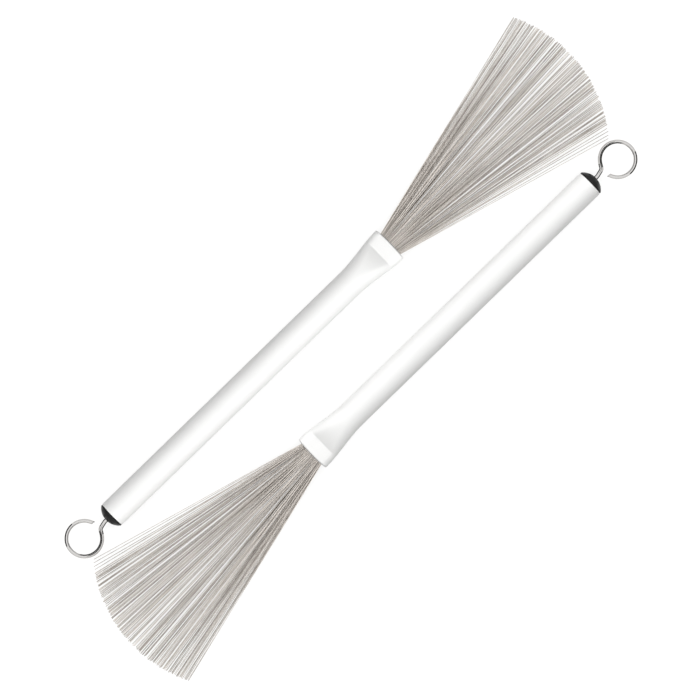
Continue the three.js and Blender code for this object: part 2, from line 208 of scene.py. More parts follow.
class FerruleSettings(bpy.types.PropertyGroup):
    """The collar that holds the wires, and what is in and on it"""

    socket_half_height: length("Socket half height", "Half the height of the socket for the wires", 3.3)
    socket_depth: length("Socket depth", "Depth of the socket for the wires", 7)
    side_wall: length("Side wall", "Thickness of the ferrule beside the socket", 0.5)
    web: length("Web", "Thickness of the ferrule between the socket and the bore", 1)
    potting_recess: length("Potting recess", "From the ferrule's face to the potting", 2)
    steel: colour("Steel", "Colour of the turned steel", "#9fa1a3")
    rubber: colour("Rubber", "Colour of the ring", "#1f1f20")
    resin: colour("Resin", "Colour of the potting", "#5b5247")


class FanSettings(bpy.types.PropertyGroup):
    """The wires and the way they spread"""

    rows: count("Rows", "Layers of wires one above another", 10, 3)
    wires_in_row: count("Wires in a row", "Wires side by side in each layer", 20)
    wire_radius: length("Wire radius", "Half a wire's thickness", 0.15)
    half_angle: angle("Half angle", "From the middle of the fan to its outermost wires", 14.4)
    thin_edge: angle("Thin edge", "Width of the stretch with few wires, towards the other brush", 1.9)
    thin_share: share("Thin share", "Share of each row's wires in that stretch", 0.032)
    reach: length("Reach", "How far the longest wires stand out of the mouth", 128.2)
    tip_radius: length("Tip radius", "Radius of the line of the tips, seen from above", 69.3)
    tip_offset: length("Tip offset", "From the handle's axis to the middle of that line's circle", 6)
    unevenness: length("Unevenness", "How much the wires differ in length", 0.8)
    side_clearance: length("Side clearance", "Room beside the fan in the mouth", 1.1)
    top_clearance: length("Top clearance", "Room above and below the fan in the mouth", 0.4)
    half_thickness: length("Half thickness", "Half the fan's thickness at its tips", 2.0)
    potted_half_height: length("Potted half height", "Half the height of the wires in the potting", 1.7)
    potted: length("Potted", "Length of each wire inside the potting", 1.5)
    bunching: share("Bunching", "How unevenly the wires spread", 0.32, 0.95)
    wander: share("Wander", "How far a tip strays, in spacings of the wires seen from above", 0.42)
    loose: share("Loose", "How many times further the tips at the thin edge stray", 2.0, 2.0)
    sway: length("Sway", "How far a wire bows sideways on its way", 0.35)
    # painted reflection: how much brighter the wires are painted at the mouth, for the light the white
    # mouth throws on them
    painted_mouth_reflection: share("Root shine", "How much brighter the wires are at the mouth", 0.2)
    # painted shade: whole stretches of the fan are painted darker or lighter
    painted_shade_drift: share("Drift", "How much lighter or darker whole stretches of the fan are", 0.18)
    seed: count("Seed", "Picks another fan of the same kind", 7)
    bright: colour("Bright wire", "Colour of the lightest wires", "#d0cac4")
    dark: colour("Dark wire", "Colour of the darkest wires", "#8a847e")


class StageSettings(bpy.types.PropertyGroup):
    """The camera, the floor and the light"""

    turn: angle("Turn", "How far the brushes lie turned in the picture", 44.2)
    field: length("Field", "Width of the picture at the height of the handles", 342.65)
    height: length("Height", "Of the camera above the handles", 2000)
    sky: share("Sky", "Brightness of the light from all round", 0.22)
    horizon: share("Horizon", "Brightness of the horizon in what metal mirrors", 0.29)
    key: share("Key", "Brightness of the main light of each brush", 3.37, 10)
    key_side: angle("Key side", "How far each main light stands on the side of the other brush", 19)
    key_back: angle("Key back", "How far each main light stands towards the butt", 30)
    key_size: angle("Key size", "How wide each main light is, seen from the brushes", 110)
    hood_start: angle("Hood start", "Where the hood starts round the eye, from the picture's right", 95)
    hood_end: angle("Hood end", "Where the hood ends", 215)
    hood_height: length("Hood height", "Height of the hood above the rod", 12)
    hood_reach: length("Hood reach", "How far the hood reaches from the middle of the eye", 11.5)
    hood_back: length("Hood back", "From the middle of the eye to the back of the hood", 1.5)
    flag_start: angle("Flag start", "Where the flag starts round the eye, from the picture's right", -48)
    flag_end: angle("Flag end", "Where the flag ends", 25)
    flag_distance: length("Flag distance", "From the middle of the eye to the flag", 13.5)
    flag_height: length("Flag height", "Height of the flag above the rod", 8)
    flag_foot: length("Flag foot", "How far below the rod the flag starts", 1)
    strip_length: length("Strip length", "Length of the black strips beside the shank, from the butt", 9.5)
    strip_distance: length("Strip distance", "From the shank to each strip", 3.5)
    strip_height: length("Strip height", "Height of the strips above the rod", 2)
    floor: colour("Floor", "Colour of the floor", "#7a7a79")
    floor_glow: share("Floor glow", "Brightness added to the floor in the picture", 0.72)


GROUPS = {
    "brush_handle": HandleSettings,
    "brush_butt": ButtSettings,
    "brush_rod": RodSettings,
    "brush_ferrule": FerruleSettings,
    "brush_fan": FanSettings,
    "brush_stage": StageSettings,
}


# ---------------------------------------------------------------- surfaces


def facet_angles(sides):
    """The angles of the points round a ring, which starts half a facet up."""
    return (np.arange(sides) + 0.5) / sides * 2 * pi


def unit(vectors):
    """Vectors of length 1, with those of no length left as they are."""
    size = np.linalg.norm(vectors, axis=-1, keepdims=True)
    return vectors / np.where(size > 0, size, 1)


HOLD = 0.04 * MM  # from an arc to the points that keep the shading of the flat faces beside it flat
STRAIGHT = 1e-6  # radians, under which a corner turns too little to be rounded
TOGETHER = 1e-9  # metres, under which two points are one


def rounded(points, radii, steps=5):
    """A flat outline with its corners turned into arcs. A corner between the directions d0 and d1,
    which differ by the angle a, becomes the arc of radius r that starts r tan(a / 2) before it. Each
    arc has one more point before and after it. A corner of radius 0 stays one point. The outline
    closes on itself."""
    corner = np.asarray(points, float)
    radius = np.broadcast_to(np.asarray(radii, float), len(corner))
    before = unit(corner - np.roll(corner, 1, 0))
    after = unit(np.roll(corner, -1, 0) - corner)
    cross = before[:, 0] * after[:, 1] - before[:, 1] * after[:, 0]
    turn = np.arctan2(cross, (before * after).sum(1))
    round_corner = (radius > 0) & (np.abs(turn) > STRAIGHT)
    radius = np.where(round_corner, radius, 0)
    reach = radius * np.abs(np.tan(turn / 2))
    inward = np.stack([-before[:, 1], before[:, 0]], 1) * np.sign(turn)[:, None]
    start = corner - before * reach[:, None]
    centre = start + inward * radius[:, None]
    swept = turn[:, None] * np.linspace(0, 1, steps + 1)
    c, s = np.cos(swept)[..., None], np.sin(swept)[..., None]
    spoke = (start - centre)[:, None, :]
    normal = np.stack([-spoke[..., 1], spoke[..., 0]], -1)
    arc = centre[:, None, :] + spoke * c + normal * s
    guard = HOLD * round_corner[:, None, None]
    lead = arc[:, :1] - before[:, None, :] * guard
    tail = arc[:, -1:] + after[:, None, :] * guard
    line = np.concatenate([lead, arc, tail], 1).reshape(-1, 2)
    apart = np.linalg.norm(line - np.roll(line, 1, 0), axis=1) > TOGETHER
    return line[apart]


def profiled(corners):
    """An outline rounded at its corners, each given as (station, radius, rounding)."""
    corners = np.array(corners)
    return rounded(corners[:, :2], corners[:, 2])


FLAT_TURN = 0.16  # the share of a flattened ring's turn that its flats take, as a cosine


def rings(x, half_height, half_width, sides):
    """Rings square to the handle's axis, one tube of them. At the angle t a ring's point is
    y = h cos t + (w - h) f(t), z = h sin t, where f runs evenly from -1 to 1 across the top and back
    across the bottom. It is a circle where w = h, and otherwise two half circles and two flats."""
    t = facet_angles(sides)
    x, h, w = (np.array(a, float)[:, None] for a in np.broadcast_arrays(x, half_height, half_width))
    flat = np.clip(np.cos(t) / FLAT_TURN, -1, 1)
    y = h * np.cos(t) + (w - h) * flat
    return np.stack([x + 0 * t, y, h * np.sin(t)], -1)[None]


def turned(profile, sides=TURNED_SIDES):
    """A profile of (station, radius) points carried round the handle's axis. Its outer side runs
    towards the mouth."""
    x, r = np.asarray(profile, float).T
    return rings(x, r, r, sides)


def piped(line, radius, sides):
    """A round bar along a line in the plane z = 0: at the angle t a ring's point is
    r (n cos t + z sin t) from the line, n being across the line's mean direction there."""
    step = unit(np.diff(line, axis=0))
    along = unit(np.concatenate([step[:1], step[:-1] + step[1:], step[-1:]]))
    across = np.stack([-along[:, 1], along[:, 0], 0 * along[:, 0]], -1)
    t = facet_angles(sides)
    up = np.array((0.0, 0.0, 1.0))
    offset = across[:, None, :] * np.cos(t)[:, None] + up * np.sin(t)[:, None]
    return (line[:, None, :] + radius * offset)[None], along


def skin(tubes, closed=False):
    """Vertices and faces over tubes given as an array of (tube, ring, point round the ring, xyz). The
    rings run towards the mouth on the outer side. A tube's rings close on themselves, or its two ends
    are closed by fans of triangles round a middle point each."""
    number, rows, sides, _ = tubes.shape
    first = np.arange(number)[:, None, None] * rows * sides
    row = np.arange(rows if closed else rows - 1)[None, :, None]
    point = np.arange(sides)[None, None, :]
    beside = (point + 1) % sides
    here = first + row * sides
    ahead = first + (row + 1) % rows * sides
    quads = np.stack([here + point, here + beside, ahead + beside, ahead + point], -1)
    vertices = tubes.reshape(-1, 3)
    faces = quads.reshape(-1, 4).tolist()
    if closed:
        return vertices, faces
    middles = tubes[:, [0, -1]].mean(2).reshape(-1, 3)
    hub = len(vertices) + 2 * np.arange(number)[:, None]
    start = first[:, 0]
    end = start + (rows - 1) * sides
    point, beside = point[0], beside[0]
    lids = [
        np.stack(np.broadcast_arrays(start + beside, start + point, hub), -1),
        np.stack(np.broadcast_arrays(end + point, end + beside, hub + 1), -1),
    ]
    faces += np.concatenate(lids).reshape(-1, 3).tolist()
    return np.concatenate([vertices, middles]), faces


def add_object(data):
    """Puts a mesh, a lamp or a camera into the scene under its own name."""
    made = bpy.data.objects.new(data.name, data)
    bpy.context.scene.collection.objects.link(made)
    return made


def add_mesh(name, vertices, faces, material):
    """Puts these faces into the scene in one material."""
    mesh = bpy.data.meshes.new(name)
    mesh.from_pydata(vertices.tolist(), [], faces)
    mesh.materials.append(material)
    return add_object(mesh)


def add_pair(name, body, node, slot, material, tubes, closed=False, attributes=None):
    """Makes a piece of each brush from its tubes, puts it on its body and lets it stand for its CAD
    node. The slot is not used. Attributes are arrays of one value or vector for each vertex."""
    vertices, faces = skin(tubes, closed)
    pair = []
    for side in SIDES:
        piece = add_mesh(f"{name}_{side}", placed(vertices, side), faces, material)
        mesh = piece.data
        mesh.polygons.foreach_set("use_smooth", np.ones(len(mesh.polygons), bool))
        for attribute, values in (attributes or {}).items():
            vector = values.ndim > 1
            made = mesh.attributes.new(attribute, "FLOAT_VECTOR" if vector else "FLOAT", "POINT")
            made.data.foreach_set("vector" if vector else "value", values.astype(np.float32).ravel())
        mesh.validate()
        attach(piece, f"{body}_{side}")
        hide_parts(f"{node}_{side}")
        pair.append(piece)
    return pair


# ---------------------------------------------------------------- materials


def add_node(tree, kind, sockets=None, **settings):
    """Adds a node with its settings. A socket is given a value, or is linked if it is given a socket."""
    node = tree.nodes.new(kind)
    for name, value in settings.items():
        setattr(node, name, value)
    for name, value in (sockets or {}).items():
        if isinstance(value, bpy.types.NodeSocket):
            tree.links.new(value, node.inputs[name])
        else:
            node.inputs[name].default_value = value
    return node


def shader_of(tree):
    """The shader that a new material comes with."""
    return tree.nodes["Principled BSDF"]


def new_material(name, **sockets):
    """A material with its shader's plain values set, and its node tree."""
    material = bpy.data.materials.new(name)
    material.use_nodes = True
    for socket, value in sockets.items():
        shader_of(material.node_tree).inputs[socket.replace("_", " ")].default_value = value
    return material, material.node_tree


def finished(material, colour=None, roughness=None, normal=None):
    """The material, with its shader's colour, roughness and normal linked to what is given for them."""
    tree = material.node_tree
    for socket, source in (("Base Color", colour), ("Roughness", roughness), ("Normal", normal)):
        if source is not None:
            tree.links.new(source, shader_of(tree).inputs[socket])
    return material


def grain(tree, sizes, detail=2.0, roughness=0.5, place=None):
    """Noise whose grains are `sizes` millimetres long along the three axes of the place, which is that
    in the row's frame if no other is given."""
    if place is None:
        place = add_node(tree, "ShaderNodeTexCoord").outputs["Object"]
    scale = [1 / (size * MM) for size in np.broadcast_to(sizes, 3).tolist()]
    spread = add_node(tree, "ShaderNodeMapping", {"Vector": place, "Scale": scale})
    noise = {"Vector": spread.outputs[0], "Scale": 1.0, "Detail": detail, "Roughness": roughness}
    return add_node(tree, "ShaderNodeTexNoise", noise).outputs["Fac"]


def between(tree, factor, low, high, low_at=0.35, high_at=0.65):
    """A value that runs from low to high as the factor runs from low_at to high_at. Most noise lies
    between the two that are set here."""
    sockets = {"Value": factor, "From Min": low_at, "From Max": high_at, "To Min": low, "To Max": high}
    return add_node(tree, "ShaderNodeMapRange", sockets).outputs["Result"]


def tinted(tree, factor, low, high):
    """A colour that runs from low to high with the factor."""
    sockets = {0: factor, 6: (*low, 1), 7: (*high, 1)}
    return add_node(tree, "ShaderNodeMix", sockets, data_type="RGBA").outputs[2]


def toned(tree, factor, base, low, high=1.0):
    """A colour that runs from one share of the base to another with the factor."""
    base = np.array(base)
    return tinted(tree, factor, base * low, base * high)


def relief(tree, height, depth, **under):
    """A bump `depth` millimetres deep from a height between 0 and 1, on top of another bump's Normal if
    that is given."""
    sockets = {"Height": height, "Distance": depth * MM, "Strength": 1.0, **under}
    return add_node(tree, "ShaderNodeBump", sockets).outputs["Normal"]


def white_vinyl(base):
    """PVC sleeve, drawn over the tube warm and left to shrink: a dead white with a soft shine. The eye
    sees its highlight waver a little, where the sleeve has drawn up unevenly over some centimetres,
    and a skin that is very finely pebbled. Handling leaves it a shade greyer here and there."""
    material, tree = new_material("Shrunk vinyl", Roughness=0.55, IOR=1.53)
    cloudy = grain(tree, (22, 7, 7), 3.0)
    pebbled = grain(tree, 0.45, 1.0)  # drawn about twice as coarse as it is
    waved = grain(tree, (16, 5, 5), 1.0)
    wave = relief(tree, waved, 0.05)
    return finished(
        material,
        toned(tree, cloudy, base, 0.975),
        between(tree, cloudy, 0.6, 0.5),
        relief(tree, pebbled, 0.004, Normal=wave),
    )


def drawn_aluminium(base):
    """Aluminium tube as it leaves the die: a satin grey with faint straight lines along its length."""
    material, tree = new_material("Drawn aluminium", Metallic=1.0, Roughness=0.36)
    lines = grain(tree, (18, 0.12, 0.12))
    return finished(
        material,
        toned(tree, lines, base, 0.86),
        between(tree, lines, 0.44, 0.3),
        relief(tree, lines, 0.006),
    )


def moulded_black(base):
    """Nylon plug from a spark-eroded mould: black with a soft broad sheen and an even fine grain, whose
    pits swallow part of the shine. It is a little greyer and smoother where fingers have rubbed it."""
    plain = {"Roughness": 0.42, "IOR": 1.53, "Specular_IOR_Level": 0.15}
    material, tree = new_material("Moulded nylon", **plain)
    rubbed = grain(tree, 3)
    eroded = grain(tree, 0.22)
    return finished(
        material,
        toned(tree, rubbed, base, 1, 1.45),
        between(tree, rubbed, 0.48, 0.36),
        relief(tree, eroded, 0.012),
    )


def turned_acetal(base):
    """Acetal bush off the lathe: waxy cream white with faint rings round its axis."""
    material, tree = new_material("Turned acetal", Roughness=0.45, IOR=1.48)
    rounds = grain(tree, (0.12, 60, 60), 1.0)
    return finished(material, toned(tree, rounds, base, 0.93), normal=relief(tree, rounds, 0.01))


def pressed_felt(base):
    """Wool felt washer, pressed hard: dark grey, matt and hairy, with paler and darker fibres."""
    material, tree = new_material("Pressed felt", Roughness=0.95, Sheen_Weight=0.35)
    fibres = grain(tree, (0.16, 0.5, 0.3), 6.0, 0.7)
    return finished(material, toned(tree, fibres, base, 0.55, 1.5), normal=relief(tree, fibres, 0.12))


def nickel_plate(base):
    """Steel wire, drawn and then bright nickel plated: a warm mirror, softened by fine lines along the
    wire that the plating doesn't fill, and a shade duller here and there."""
    material, tree = new_material("Bright nickel plate", Metallic=1.0, Roughness=0.06)
    followed = add_node(tree, "ShaderNodeAttribute", attribute_name="grain").outputs["Vector"]
    lines = grain(tree, (0.1, 0.1, 9), place=followed)
    dulled = grain(tree, (1.2, 1.2, 4), place=followed)
    return finished(
        material,
        toned(tree, dulled, base, 0.88),
        between(tree, dulled, 0.09, 0.03),
        relief(tree, lines, 0.001),
    )


def turned_steel(base):
    """Mild steel off the lathe, not plated: mid grey with close bright and dark rings round its axis."""
    material, tree = new_material("Turned steel", Metallic=1.0, Roughness=0.34)
    rounds = grain(tree, (0.09, 40, 40))
    return finished(
        material,
        toned(tree, rounds, base, 0.72),
        between(tree, rounds, 0.42, 0.28),
        relief(tree, rounds, 0.012),
    )


def moulded_rubber(base):
    """Nitrile ring: black and matt, with a faint bloom of dust on it."""
    material, tree = new_material("Nitrile rubber", Roughness=0.8, IOR=1.52)
    dust = grain(tree, 0.5, 4.0)
    return finished(material, toned(tree, dust, base, 1, 2.2), normal=relief(tree, dust, 0.02))


def cast_resin(base):
    """Epoxy potting, poured round the wires: a dark amber brown with a wet skin and a few cloudy
    patches."""
    material, tree = new_material("Epoxy potting", Roughness=0.22, IOR=1.55)
    cloudy = grain(tree, 1.4, 3.0)
    return finished(material, toned(tree, cloudy, base, 0.6), normal=relief(tree, cloudy, 0.05))


def spring_wire(bright, dark):
    """Hard drawn spring steel wire: warm grey, each wire lighter or darker than the next as it comes
    from another stretch of the coil, with the duller film of the drawing soap in patches along it. Its
    tone also carries painted shade over broad stretches of the fan and a painted reflection near the mouth."""
    material, tree = new_material("Spring steel wire", Metallic=1.0, Roughness=0.34)
    # the tone carries painted shade and a painted reflection as well as each wire's own tone
    tone_and_painted_light = add_node(tree, "ShaderNodeAttribute", attribute_name="tone_and_painted_light").outputs["Fac"]
    film = grain(tree, (12, 1.5, 1.5))
    parts = {0: between(tree, film, -0.14, 0.14), 1: tone_and_painted_light}
    mixed = add_node(tree, "ShaderNodeMath", parts, operation="ADD", use_clamp=True).outputs[0]
    return finished(material, tinted(tree, mixed, dark, bright), between(tree, film, 0.42, 0.28))


# ---------------------------------------------------------------- handle


def outer_half_width(x, handle):
    """Half the handle's width at a station: the radius r, then r + (w - r) s(t) over the flare, where
    s(t) = t t (3 - 2 t)."""
    t = np.clip((x - SLEEVE.end + handle.flare) / handle.flare, 0, 1)
    return SLEEVE.half_height + (SLEEVE.half_width - SLEEVE.half_height) * t * t * (3 - 2 * t)


EASED_OVER = np.linspace(-0.5, 0.5, 9)  # the stations whose mean eases the crease, in crease lengths


def outer_half_height(x, handle):
    """Half the handle's height: r - (r - h) t^p, with t from 0 at the start of the flare to 1 at the
    land. The crease there is eased, as the mean of the height over the crease's length."""
    ease = EASED_OVER[:, None] * handle.crease
    t = np.clip((x + ease - SLEEVE.end + handle.flare) / (handle.flare - handle.land), 0, 1)
    return (SLEEVE.half_height - (SLEEVE.half_height - handle.mouth_half_height) * t**handle.drop).mean(0)


# rings along a layer of the handle
STRAIGHT_RINGS = 24
FLARE_RINGS = 48
CREASE_RINGS = 10
LAND_RINGS = 10
INNER_EDGE = 0.9  # rounding of a layer's inner edges, as a share of what its outer ones leave of the wall


def handle_layer(handle, depth, wall, edge, end):
    """One layer of the handle, `depth` under the sleeve's face: its section along the handle is a thin
    strip with rounded ends, and its section across is the handle's own, drawn in by the depth."""
    flare_start, land_start = SLEEVE.end - handle.flare, SLEEVE.end - handle.land
    crease_start, crease_end = land_start - handle.crease, land_start + handle.crease
    straight = np.linspace(0, flare_start, STRAIGHT_RINGS, endpoint=False)
    flare = np.linspace(flare_start, crease_start, FLARE_RINGS, endpoint=False)
    crease = np.linspace(crease_start, crease_end, CREASE_RINGS, endpoint=False)
    run = np.concatenate([straight, flare, crease, np.linspace(crease_end, end, LAND_RINGS)])
    outside = np.stack([run, 0 * run + depth], 1)
    inside = np.stack([run[::-1], 0 * run + depth + wall], 1)
    edges = np.zeros(2 * len(run))
    edges[[0, len(run) - 1]] = edge
    edges[[len(run), -1]] = min(edge, wall - edge) * INNER_EDGE
    x, deep = rounded(np.concatenate([outside, inside]), edges).T
    layer = rings(x, outer_half_height(x, handle) - deep, outer_half_width(x, handle) - deep, HANDLE_SIDES)
    return bowed(layer, handle)


def bowed(layer, handle):
    """The mouth bowed: its points go back by b (y / w) (y / w), which fades in along the land."""
    fade = np.clip((layer[..., 0] - SLEEVE.end + handle.land) / handle.land, 0, 1)
    back = handle.bow * (layer[..., 1] / SLEEVE.half_width) ** 2
    return layer - np.stack([back * fade, 0 * back, 0 * back], -1)


class BRUSHES_OT_sleeve(bpy.types.Operator):
    """Builds the white vinyl sleeve over each handle"""

    bl_idname = "brushes.sleeve"
    bl_label = "Grip sleeves"

    def execute(self, context):
        handle = context.scene.brush_handle
        layer = handle_layer(handle, 0, handle.sleeve_wall, handle.edge, SLEEVE.end)
        vinyl = white_vinyl(handle.vinyl)
        add_pair("vinyl_sleeve", "handle", "grip_sleeve", "white_vinyl", vinyl, layer, closed=True)
        return {"FINISHED"}


class BRUSHES_OT_tube(bpy.types.Operator):
    """Builds the aluminium tube inside each sleeve"""

    bl_idname = "brushes.tube"
    bl_label = "Handle tubes"

    def execute(self, context):
        handle = context.scene.brush_handle
        depth = SLEEVE.half_height - TUBE.half_height
        layer = handle_layer(handle, depth, handle.tube_wall, handle.tube_wall / 3, TUBE.end + handle.lip)
        metal = drawn_aluminium(handle.aluminium)
        add_pair("aluminium_tube", "handle", "handle_tube", "tube_aluminium", metal, layer, closed=True)
        return {"FINISHED"}


# ---------------------------------------------------------------- butt


def collar(place, inner, roundings):
    """A washer-like piece that fills its node's place round a hole."""
    start, end, outer = place.start, place.end, place.half_height
    return turned(rounded([(start, inner), (start, outer), (end, outer), (end, inner)], roundings))


def rod_hole(context):
    """The radius of a hole that the rod slides in."""
    return context.scene.brush_rod.radius + SLIDE_GAP


DOME_RINGS = 40


class BRUSHES_OT_cap(bpy.types.Operator):
    """Builds the black domed plug in each butt"""

    bl_idname = "brushes.cap"
    bl_label = "End caps"

    def execute(self, context):
        butt = context.scene.brush_butt
        hole = rod_hole(context)
        bush_hole = BUSH.half_height + FIT_GAP
        stem = TUBE.half_height - context.scene.brush_handle.tube_wall - FIT_GAP
        rim = CAP.half_height
        foot = -FIT_GAP - butt.rim

        # the dome is the part of a sphere that is as high as it should be above the rim
        sphere = (rim**2 + butt.dome_height**2) / (2 * butt.dome_height)
        reach = np.linspace(hole, rim, DOME_RINGS)
        height = foot - butt.dome_height + sphere - np.sqrt(sphere**2 - reach**2)
        dome = np.stack([height, reach, 0 * reach], 1)
        dome[[0, -1], 2] = 0.25 * MM, 0.18 * MM
        seat = BUSH.start - FIT_GAP
        outline = [
            (seat, hole, 0),
            *dome,
            (-FIT_GAP, rim, 0.12 * MM),
            (-FIT_GAP, stem, 0.1 * MM),
            (CAP.end, stem, 0.4 * MM),
            (CAP.end, bush_hole, 0.2 * MM),
            (seat, bush_hole, 0),
        ]
        plug = turned(profiled(outline), HANDLE_SIDES)
        plastic = moulded_black(butt.plastic)
        add_pair("domed_plug", "handle", "end_cap", "cap_black", plastic, plug, closed=True)
        return {"FINISHED"}


class BRUSHES_OT_bush(bpy.types.Operator):
    """Builds the bush that guides each rod"""

    bl_idname = "brushes.bush"
    bl_label = "Guide bushes"

    def execute(self, context):
        bush = collar(BUSH, rod_hole(context), (0.3 * MM, 0.12 * MM, 0.12 * MM, 0.3 * MM))
        acetal = turned_acetal(context.scene.brush_butt.bush)
        add_pair("rod_bush", "handle", "guide_bush", "bush_plastic", acetal, bush, closed=True)
        return {"FINISHED"}


class BRUSHES_OT_washer(bpy.types.Operator):
    """Builds the felt washer that each ferrule lands on"""

    bl_idname = "brushes.washer"
    bl_label = "Bumper washers"

    def execute(self, context):
        washer = collar(WASHER, rod_hole(context), 0.35 * MM)
        felt = pressed_felt(context.scene.brush_butt.felt)
        add_pair("felt_washer", "handle", "bumper_washer", "washer_felt", felt, washer, closed=True)
        return {"FINISHED"}


# ---------------------------------------------------------------- pull rod

EYE_RINGS = 110
BEND_STEPS = 12  # facets along the kink and the bend
CUT_RINGS = 5  # that the slant of the cut fades out over
CUT_FACE = 0.86  # radius of the cut's face inside its broken edge, in radii of the rod
CUT_EDGE = 0.12 * MM  # width of that edge along the rod
HUB = 0.1 * MM  # radius of the last ring round the middle of a flat end


def eye_middle(rod):
    """Where the middle of the eye is, seen from above."""
    return np.array((-rod.eye_distance, rod.eye_offset))


def rod_line(rod, dome_top):
    """The rod's middle line, from the free end of the eye to its head in the ferrule. The eye is an
    arc from the end angle back to where the tangent from the kink meets it, and the kink and the bend
    at the dome are corners turned into arcs."""
    bend = np.array((dome_top - rod.radius, 0.0))
    kink = bend - (rod.shank * cos(rod.lean), rod.shank * sin(rod.lean))
    eye = eye_middle(rod)
    reach = eye - kink
    tangent = atan2(-reach[1], reach[0]) + np.arccos(rod.eye_radius / hypot(*reach))
    turn = np.linspace(rod.eye_end, tangent, EYE_RINGS)
    circle = eye + rod.eye_radius * np.stack([-np.cos(turn), np.sin(turn)], 1)
    head = np.array((ROD.end - rod.head_length, 0.0))
    corners = np.array([circle[-1], kink, bend, head])
    bent = rounded(corners, (0, rod.kink_radius, rod.bend_radius, 0), BEND_STEPS)
    line = np.concatenate([circle[:-1], bent])
    return np.concatenate([line, np.zeros((len(line), 1))], 1)


def cut_end(bar, along, middle, rod):
    """The bar with its free end cut across at a slant: the first rings are sheared along the bar by
    their distance from the middle line times tan c, which fades out over a few rings, and the edge of
    the cut is broken."""
    first = bar[0, :CUT_RINGS]
    fade = np.linspace(1, 0, CUT_RINGS, endpoint=False)[:, None]
    offset = first - middle[:CUT_RINGS, None, :]
    outwards = unit(middle[:CUT_RINGS, :2] - eye_middle(rod))
    distance = (offset[..., :2] * outwards[:, None, :]).sum(-1)
    first -= along[:CUT_RINGS, None, :] * (distance * tan(rod.cut) * fade)[..., None]
    centre = first[0].mean(0)
    face = centre + (first[0] - centre) * CUT_FACE - along[0] * CUT_EDGE
    return np.concatenate([face[None, None], bar], 1)


class BRUSHES_OT_rod(bpy.types.Operator):
    """Builds the nickel plated pull rods with their open eyes"""

    bl_idname = "brushes.rod"
    bl_label = "Pull rods"

    def execute(self, context):
        rod = context.scene.brush_rod
        butt = context.scene.brush_butt
        line = rod_line(rod, -FIT_GAP - butt.rim - butt.dome_height)
        bar, along = piped(line, rod.radius, ROD_SIDES)
        bar = cut_end(bar, along, line, rod)
        head_start = ROD.end - rod.head_length
        corners = [
            (head_start, rod.radius, 0),
            (head_start, ROD.half_height, 0.25 * MM),
            (ROD.end, ROD.half_height, 0.4 * MM),
            (ROD.end, HUB, 0),
        ]
        head = turned(profiled(corners), ROD_SIDES)
        whole = np.concatenate([bar, head[:, 1:]], 1)  # the bar's last ring is the head's first

        # the plating's lines follow the rod: two coordinates across it, and the way along it
        middles = whole[0].mean(1)
        way = np.concatenate([[0], np.cumsum(np.linalg.norm(np.diff(middles, axis=0), axis=1))])
        t = facet_angles(ROD_SIDES)
        radii = np.linalg.norm(whole[0] - middles[:, None], axis=-1)
        follow = np.stack([radii * np.cos(t), radii * np.sin(t), way[:, None] + 0 * t], -1).reshape(-1, 3)
        follow = np.concatenate([follow, [(0, 0, 0), (0, 0, way[-1])]])
        nickel = nickel_plate(rod.plating)
        add_pair("eye_rod", "rod", "pull_rod", "rod_steel", nickel, whole, attributes={"grain": follow})
        return {"FINISHED"}


# ---------------------------------------------------------------- ferrule


def socket_half_width(context):
    """Half the width of the ferrule's flat socket."""
    return FERRULE.half_height - context.scene.brush_ferrule.side_wall


class BRUSHES_OT_ferrule(bpy.types.Operator):
    """Builds the steel collars that hold the wires"""

    bl_idname = "brushes.ferrule"
    bl_label = "Wire ferrules"

    def execute(self, context):
        ferrule = context.scene.brush_ferrule
        bore = ANCHOR.half_height + FIT_GAP
        socket_floor = FERRULE.end - ferrule.socket_depth
        bore_floor = socket_floor - ferrule.web
        ring_radius = (RING.end - RING.start) / 2
        groove = RING.half_height - 2 * ring_radius - FIT_GAP
        middle = (RING.start + RING.end) / 2
        half_groove = ring_radius + FIT_GAP
        outer = FERRULE.half_height
        inset = 0.1 * MM  # of the front face's first ring
        corners = [
            (bore_floor, HUB, 0),
            (bore_floor, bore, 0.2 * MM),
            (FERRULE.start, bore, 0.25 * MM),
            (FERRULE.start, outer, 0.35 * MM),
            (middle - half_groove, outer, 0.12 * MM),
            (middle - half_groove, groove, 0.2 * MM),
            (middle + half_groove, groove, 0.2 * MM),
            (middle + half_groove, outer, 0.12 * MM),
            (FERRULE.end, outer, 0.08 * MM),
            (FERRULE.end, outer - inset, 0),
        ]
        x, r = profiled(corners).T

        # the socket carries on from the front face: a chamfer, the flat-sided wall and the floor
        half_height, half_width = ferrule.socket_half_height, socket_half_width(context)
        chamfer = 0.2 * MM
        front = FERRULE.end - chamfer * np.arange(3)
        wider = np.array((chamfer, 0, 0, 0, -chamfer))
        x = np.concatenate([x, front, (socket_floor + chamfer, socket_floor)])
        heights = np.concatenate([r, half_height + wider])
        widths = np.concatenate([r, half_width + wider])
        body = rings(x, heights, widths, HANDLE_SIDES)
        steel = turned_steel(ferrule.steel)
        add_pair("wire_collar", "rod", "wire_ferrule", "ferrule_steel", steel, body)
        return {"FINISHED"}


class BRUSHES_OT_anchor(bpy.types.Operator):
    """Builds the slugs that fasten the rods in the ferrules"""

    bl_idname = "brushes.anchor"
    bl_label = "Rod anchors"

    def execute(self, context):
        slug = collar(ANCHOR, context.scene.brush_rod.radius + FIT_GAP, 0.2 * MM)
        steel = turned_steel(context.scene.brush_ferrule.steel)
        add_pair("anchor_slug", "rod", "rod_anchor", "ferrule_steel", steel, slug, closed=True)
        return {"FINISHED"}


RING_STEPS = 24  # facets round the ring's own section


